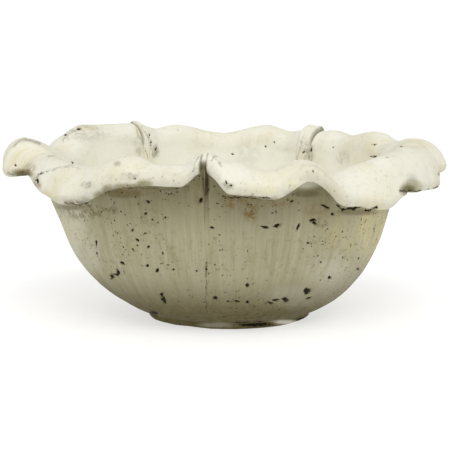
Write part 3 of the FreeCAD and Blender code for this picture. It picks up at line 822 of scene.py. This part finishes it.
def ring_normals(points):
    """Give the unit normals of a closed ring: the cross product of its two slopes, taken round it."""
    over = np.roll(points, -1, axis=0) - np.roll(points, 1, axis=0)
    along = np.roll(points, -1, axis=1) - np.roll(points, 1, axis=1)
    return unit_cross(over, along)


def way_along(points, angles):
    """Give the brush strokes' map: the way round at a fixed radius, and the way along each cut."""
    lengths = np.linalg.norm(np.diff(points, axis=1, prepend=points[:, :1]), axis=-1)
    around = np.broadcast_to(angles[:, None] * 0.16, lengths.shape)
    return np.stack((around, np.cumsum(lengths, axis=1)), axis=-1)


def ring_piece(node, profile, outside):
    """Make a turned piece of the bowl that is closed round its axis.

    It is weathered as the wall is on the rows of its profile that lie outside, and cleaner inside.
    """
    points, angles = turned_surface(profile, RING_COLUMNS)
    normals = ring_normals(points)
    chip, tints = wear(points, normals, outside)
    paints = dirt_values(chip, 0.1 + 0.9 * outside, soot_of(points) * (0.3 + 0.7 * outside), tints)
    points = weathered(points, normals, 0.35, chip)
    points[..., 2] = np.maximum(points[..., 2], 0.0)
    return new_piece(node, points.reshape(-1, 3), ring_faces(*points.shape[:2]), paints,
                     way_along(points, angles).reshape(-1, 2), "bowl",
                     named_material(worn_cream_paint))


# Materials


def add_node(tree, kind, inputs=None, **settings):
    """Add a node, set its settings and set or link its inputs."""
    node = tree.nodes.new(kind)
    for key, value in settings.items():
        setattr(node, key, value)
    for key, value in (inputs or {}).items():
        if isinstance(value, bpy.types.NodeSocket):
            tree.links.new(value, node.inputs[key])
        else:
            node.inputs[key].default_value = value
    return node


def blank_material(name):
    """Start a material: give it, its empty node tree and the place of a point on the object."""
    material = bpy.data.materials.new(name)
    material.use_nodes = True
    tree = material.node_tree
    tree.nodes.clear()
    return material, tree, add_node(tree, "ShaderNodeTexCoord").outputs["Object"]


def add_shader(tree, inputs):
    """Put a surface shader with its inputs on the material's output."""
    shader = add_node(tree, "ShaderNodeBsdfPrincipled", inputs)
    add_node(tree, "ShaderNodeOutputMaterial", {"Surface": shader.outputs[0]})


def blend_colour(tree, factor, under, over):
    """Lay one colour over another by a factor."""
    node = add_node(tree, "ShaderNodeMix", {0: factor, 6: under, 7: over}, data_type="RGBA")
    return node.outputs[2]


def reckon(tree, operation, first, second=0.0, third=0.0, clamp=False):
    """Work out one sum of numbers."""
    node = add_node(tree, "ShaderNodeMath", {0: first, 1: second, 2: third},
                    operation=operation, use_clamp=clamp)
    return node.outputs[0]


def remap(tree, value, low, high, start=0.0, end=1.0):
    """Map a number from one range to another with eased ends."""
    node = add_node(tree, "ShaderNodeMapRange",
                    {0: value, 1: low, 2: high, 3: start, 4: end},
                    interpolation_type="SMOOTHSTEP")
    return node.outputs[0]


def noise(tree, vector, scale, detail=4.0, roughness=0.55):
    """Give a noise pattern."""
    node = add_node(tree, "ShaderNodeTexNoise",
                    {"Vector": vector, "Scale": scale, "Detail": detail, "Roughness": roughness})
    return node.outputs[0]


def paint_value(tree, name):
    """Read one of the paint values that the mesh carries."""
    return add_node(tree, "ShaderNodeAttribute", attribute_name=name).outputs["Fac"]


def patchy(tree, name, pattern, low, high, least, most):
    """Read a paint value and break it up by a pattern, of which it keeps a least and a most share."""
    share = remap(tree, pattern, low, high, least, most)
    return reckon(tree, "MULTIPLY", paint_value(tree, name), share)


def speckles(tree, place, scale, rarity, largest):
    """Give small round pits: Voronoi cells of which only some hold a pit of their own size."""
    cells = add_node(tree, "ShaderNodeTexVoronoi", {"Vector": place, "Scale": scale})
    parts = add_node(tree, "ShaderNodeSeparateColor", {0: cells.outputs["Color"]})
    size = reckon(tree, "MULTIPLY", parts.outputs[0], largest)
    inside = remap(tree, reckon(tree, "SUBTRACT", size, cells.outputs["Distance"]), 0.0, 0.05)
    chosen = reckon(tree, "GREATER_THAN", parts.outputs[1], rarity)
    return reckon(tree, "MULTIPLY", inside, chosen)


def worn_cream_paint(name):
    """Build the worn cream paint over dark clay.

    Cream paint yellows by slow noise. An olive wash lies on the outer wall with upright brush marks.
    Stains, soot that is dirt and painted shade, pits and chips through to the clay lie on top, and the
    same patterns make the bump.
    """
    material, tree, place = blank_material(name)
    strokes = add_node(tree, "ShaderNodeUVMap", uv_map="strokes").outputs["UV"]
    broad = add_node(tree, "ShaderNodeMapping", {"Vector": strokes, "Scale": (110, 9, 1)})
    narrow = add_node(tree, "ShaderNodeMapping", {"Vector": strokes, "Scale": (480, 22, 1)})
    chip = paint_value(tree, "chip")
    grime = paint_value(tree, "grime")

    # Patterns that the layers share
    slow = noise(tree, place, 24.0)
    cloud = noise(tree, place, 70.0, 6.0, 0.65)
    fine = noise(tree, place, 620.0, 5.0, 0.65)
    mottle = noise(tree, place, 150.0, 6.0, 0.7)
    brush = reckon(tree, "MULTIPLY_ADD", noise(tree, broad.outputs[0], 1.0, 5.0, 0.65), 0.6,
                   reckon(tree, "MULTIPLY", noise(tree, narrow.outputs[0], 1.0, 4.0, 0.6), 0.4))

    # Cream paint, and the wash that the brush left on it, a little of it on the lip as painted shade
    yellowed = remap(tree, slow, 0.45, 0.75, 0.0, 0.35)
    cream = blend_colour(tree, yellowed, colour("paint"), colour("paint_warm"))
    thin = reckon(tree, "MULTIPLY_ADD", reckon(tree, "SUBTRACT", brush, 0.5), 0.7, 0.88)
    thin = reckon(tree, "MULTIPLY", thin, grime, clamp=True)
    washed = blend_colour(tree, thin, cream, colour("wash"))
    warm = patchy(tree, "warm", brush, 0.43, 0.57, 0.15, 0.9)
    washed = blend_colour(tree, warm, washed, colour("paint_warm"))

    # Dirt in blotches, brush marks and smears, soot that is dirt and painted shade, and rust stains
    dirt_and_shade = remap(tree, mottle, 0.48, 0.80, 0.0, 0.5)
    dirt_and_shade = reckon(tree, "MULTIPLY", dirt_and_shade, reckon(tree, "MULTIPLY_ADD", grime, 0.8, 0.2))
    marks = remap(tree, brush, 0.53, 0.72, 0.0, 0.3)
    marks = reckon(tree, "MULTIPLY", marks, grime)
    dirt_and_shade = reckon(tree, "MAXIMUM", dirt_and_shade, marks)
    dirt_and_shade = reckon(tree, "MAXIMUM", dirt_and_shade, patchy(tree, "smear", mottle, 0.40, 0.62, 0.15, 0.9))
    # Soot: dirt, and painted shade under the lip, in the slit, in the hollows and near the floor
    dirt_and_shade = reckon(tree, "MAXIMUM", dirt_and_shade, patchy(tree, "soot", mottle, 0.30, 0.70, 0.84, 1.0))
    dirtied_and_shaded = blend_colour(tree, dirt_and_shade, washed, colour("wash_dark"))
    rust = patchy(tree, "rust", mottle, 0.40, 0.60, 0.15, 0.9)
    stained = blend_colour(tree, rust, dirtied_and_shaded, colour("rust"))

    # Pits in clusters, and chips with a dirty edge
    cluster = remap(tree, slow, 0.44, 0.56)
    pits = reckon(tree, "MAXIMUM", speckles(tree, place, 210.0, 0.72, 0.31),
                  speckles(tree, place, 390.0, 0.62, 0.40))
    pits = reckon(tree, "MULTIPLY", pits, reckon(tree, "MULTIPLY_ADD", cluster, 0.9, 0.05))
    pits = reckon(tree, "MULTIPLY", pits, reckon(tree, "MULTIPLY_ADD", grime, 0.84, 0.06))
    edge = reckon(tree, "MULTIPLY_ADD", reckon(tree, "SUBTRACT", fine, 0.5), 2.0, chip)
    halo = remap(tree, edge, -0.55, 0.05, 0.0, 0.45)
    broken = remap(tree, edge, -0.02, 0.22)
    broken = reckon(tree, "MAXIMUM", broken, pits)
    haloed = blend_colour(tree, halo, stained, colour("wash_dark"))
    painted = blend_colour(tree, broken, haloed, colour("clay"))

    # Bump and gloss
    height = reckon(tree, "MULTIPLY_ADD", brush, 0.35, reckon(tree, "MULTIPLY", fine, 0.35))
    height = reckon(tree, "SUBTRACT", height, broken)
    bump = add_node(tree, "ShaderNodeBump", {"Height": height, "Strength": 0.55, "Distance": 0.0008})
    rough = reckon(tree, "MULTIPLY_ADD", cloud, 0.25, 0.55)
    rough = reckon(tree, "MULTIPLY_ADD", broken, 0.2, rough, clamp=True)
    add_shader(tree, {"Base Color": painted, "Roughness": rough, "Normal": bump.outputs[0],
                      "Specular IOR Level": 0.12})
    return material


def moulded_rubber(name):
    """Build dull dark rubber: dusty patches by noise and a fine grain in roughness and bump."""
    material, tree, place = blank_material(name)
    dust = remap(tree, noise(tree, place, 180.0, 6.0, 0.65), 0.5, 0.8, 0.0, 0.5)
    grain = noise(tree, place, 1400.0, 3.0)
    tint = blend_colour(tree, dust, colour("rubber"), colour("wash"))
    rough = reckon(tree, "MULTIPLY_ADD", dust, 0.35, reckon(tree, "MULTIPLY_ADD", grain, 0.2, 0.45))
    bump = add_node(tree, "ShaderNodeBump", {"Height": grain, "Strength": 0.3, "Distance": 0.0003})
    add_shader(tree, {"Base Color": tint, "Roughness": rough, "Normal": bump.outputs[0]})
    return material


def pale_floor(name):
    """Build the plain pale floor.

    Its tone has a breath of noise, and a glow of its own keeps the bowl's shade on it soft.
    """
    material, tree, place = blank_material(name)
    tone = blend_colour(tree, noise(tree, place, 3.0), (0.61, 0.61, 0.61, 1), (0.63, 0.63, 0.63, 1))
    add_shader(tree, {"Base Color": tone, "Roughness": 0.9,
                      "Emission Color": (1, 1, 1, 1), "Emission Strength": 0.38})
    return material


def named_material(build):
    """Give the material named as the function that builds it, and build it only once."""
    return bpy.data.materials.get(build.__name__) or build(build.__name__)


# Operators


class PLANTER_OT_petals(bpy.types.Operator):
    """Build the five wall petals with their ruffled lip"""

    bl_idname = "planter.petals"
    bl_label = "Petals"

    def execute(self, context):
        for petal in PETALS:
            strip_piece(f"petal_{petal}", petal_surface(petal))
        return {"FINISHED"}


class PLANTER_OT_seams(bpy.types.Operator):
    """Build the five seam strips between the petals"""

    bl_idname = "planter.seams"
    bl_label = "Seam strips"

    def execute(self, context):
        for seam in SEAMS:
            strip_piece(f"seam_{seam}", seam_surface(seam))
        return {"FINISHED"}


class PLANTER_OT_dish(bpy.types.Operator):
    """Build the floor slab with the start of the belly and the drain hole"""

    bl_idname = "planter.dish"
    bl_label = "Floor slab"

    def execute(self, context):
        s = sizes()
        top = floor_top()
        centre_z = top + s.belly_rise
        radius = math.hypot(s.floor_radius - s.belly_reach, s.belly_rise)
        low = math.acos((centre_z - s.foot_height) / radius)
        high = math.acos(s.belly_rise / radius)
        belly = [(s.belly_reach + radius * math.sin(a), centre_z - radius * math.cos(a))
                 for a in np.linspace(low, high, 18)]
        profile = closed_profile(
            [*belly, (s.drain_radius, top), (s.drain_radius, s.foot_height)], 2.2 * MM)
        covered = s.floor_radius - 0.8 * s.wall_seat
        below = eased((top - profile[:, 1]) / (1 * MM))
        outside = np.maximum(below, eased((profile[:, 0] - covered) / (3 * MM)))
        ring_piece("base_dish", profile, outside)
        return {"FINISHED"}


class PLANTER_OT_foot(bpy.types.Operator):
    """Build the foot ring, chipped round its lower edge"""

    bl_idname = "planter.foot"
    bl_label = "Foot ring"

    def execute(self, context):
        s = sizes()
        inner = s.foot_radius - s.foot_width
        edge = 1.5 * MM
        profile = closed_profile([
            *rounded_corner((inner + edge, edge), edge, 180, 270),
            *rounded_corner((s.foot_radius - edge, edge), edge, 270, 360),
            (s.foot_radius, s.foot_height), (inner, s.foot_height)], 1.2 * MM)
        ring_piece("foot_ring", profile, np.ones(len(profile)))
        return {"FINISHED"}


class PLANTER_OT_plug(bpy.types.Operator):
    """Build the rubber plug that lies in the drain hole"""

    bl_idname = "planter.plug"
    bl_label = "Drain plug"

    def execute(self, context):
        s = sizes()
        top = floor_top()
        head = s.drain_radius + s.plug_overlap
        head_top = top + s.plug_head
        stem = s.drain_radius - 0.05 * MM
        stem_end = s.foot_height + 3 * MM
        pin = 0.4 * MM
        profile = turned_profile([
            (pin, stem_end), (stem - 1.2 * MM, stem_end), (stem, stem_end + 1.2 * MM),
            (stem, top - 0.8 * MM), (stem, top), (head, top),
            *rounded_corner((head - 1.5 * MM, head_top - 1.5 * MM), 1.5 * MM, 0, 90),
            (head - 3.2 * MM, head_top), (head - 3.8 * MM, head_top - 0.7 * MM),
            (head - 5.0 * MM, head_top - 0.7 * MM), (head - 5.6 * MM, head_top), (pin, head_top)],
            0.8 * MM)
        points, angles = turned_surface(profile, PLUG_COLUMNS)
        new_piece("drain_plug", points.reshape(-1, 3), capped_faces(*points.shape[:2]), {},
                  way_along(points, angles).reshape(-1, 2), "plug",
                  named_material(moulded_rubber))
        return {"FINISHED"}


class PLANTER_OT_stage(bpy.types.Operator):
    """Set the pale floor, the soft lights and the camera"""

    bl_idname = "planter.stage"
    bl_label = "Stage"

    def execute(self, context):
        scene = context.scene
        side = np.array((-1.0, 1.0)) * FLOOR_HALF
        across, deep = np.meshgrid(side, side, indexing="ij")
        corners = np.stack((across, deep, np.zeros_like(across)), axis=-1).reshape(-1, 3)
        mesh = bpy.data.meshes.new("floor")
        mesh.from_pydata(corners.tolist(), [], [(0, 2, 3, 1)])
        mesh.materials.append(named_material(pale_floor))
        floor = bpy.data.objects.new("floor", mesh)
        scene.collection.objects.link(floor)

        world = bpy.data.worlds.new("studio")
        world.use_nodes = True
        sky = world.node_tree.nodes["Background"]
        sky.inputs["Color"].default_value = SKY_COLOUR
        sky.inputs["Strength"].default_value = SKY_POWER
        scene.world = world
        for name, light in LIGHTS.items():
            self.soft_sun(name, *light)

        lens = bpy.data.cameras.new("front_view")
        lens.lens = VIEW_LENS
        lens.sensor_width = VIEW_SENSOR
        lens.shift_x, lens.shift_y = VIEW_SHIFT
        camera = bpy.data.objects.new("front_view", lens)
        camera.location = VIEW_EYE
        camera.rotation_euler = (math.pi / 2 - VIEW_ANGLE, 0.0, 0.0)
        scene.collection.objects.link(camera)
        scene.camera = camera
        scene.view_settings.view_transform = "Standard"
        return {"FINISHED"}

    def soft_sun(self, name, place, spread, power, shadow):
        """Hang a wide, far light that looks at the bowl."""
        light = bpy.data.lights.new(name, "SUN")
        light.use_shadow = shadow
        light.angle = math.radians(spread)
        light.energy = power
        lamp = bpy.data.objects.new(name, light)
        lamp.location = place
        lamp.rotation_euler = (-lamp.location).to_track_quat("-Z", "Y").to_euler()
        bpy.context.scene.collection.objects.link(lamp)


class PLANTER_PT_panel(bpy.types.Panel):
    """List the planter's pieces, sizes and colours"""

    bl_idname = "PLANTER_PT_panel"
    bl_label = "Ruffled planter"
    bl_space_type = "VIEW_3D"
    bl_region_type = "UI"
    bl_category = "Planter"

    def draw(self, context):
        layout = self.layout
        for operator in PIECE_OPERATORS:
            layout.operator(operator.bl_idname)
        for group in (context.scene.planter_sizes, context.scene.planter_colours):
            box = layout.box()
            for key in group.__annotations__:
                box.prop(group, key)


PIECE_OPERATORS = (PLANTER_OT_petals, PLANTER_OT_seams, PLANTER_OT_dish, PLANTER_OT_foot,
                   PLANTER_OT_plug, PLANTER_OT_stage)
CLASSES = (PlanterSizes, PlanterColours, *PIECE_OPERATORS, PLANTER_PT_panel)


def register():
    """Register the classes and hang their values on the scene."""
    for item in CLASSES:
        bpy.utils.register_class(item)
    bpy.types.Scene.planter_sizes = bpy.props.PointerProperty(type=PlanterSizes)
    bpy.types.Scene.planter_colours = bpy.props.PointerProperty(type=PlanterColours)


def unregister():
    """Take the values off the scene and unregister the classes."""
    del bpy.types.Scene.planter_colours
    del bpy.types.Scene.planter_sizes
    for item in reversed(CLASSES):
        bpy.utils.unregister_class(item)


def main():
    register()
    bpy.ops.planter.petals()
    bpy.ops.planter.seams()
    bpy.ops.planter.dish()
    bpy.ops.planter.foot()
    bpy.ops.planter.plug()
    bpy.ops.planter.stage()


if __name__ == "__main__":
    main()
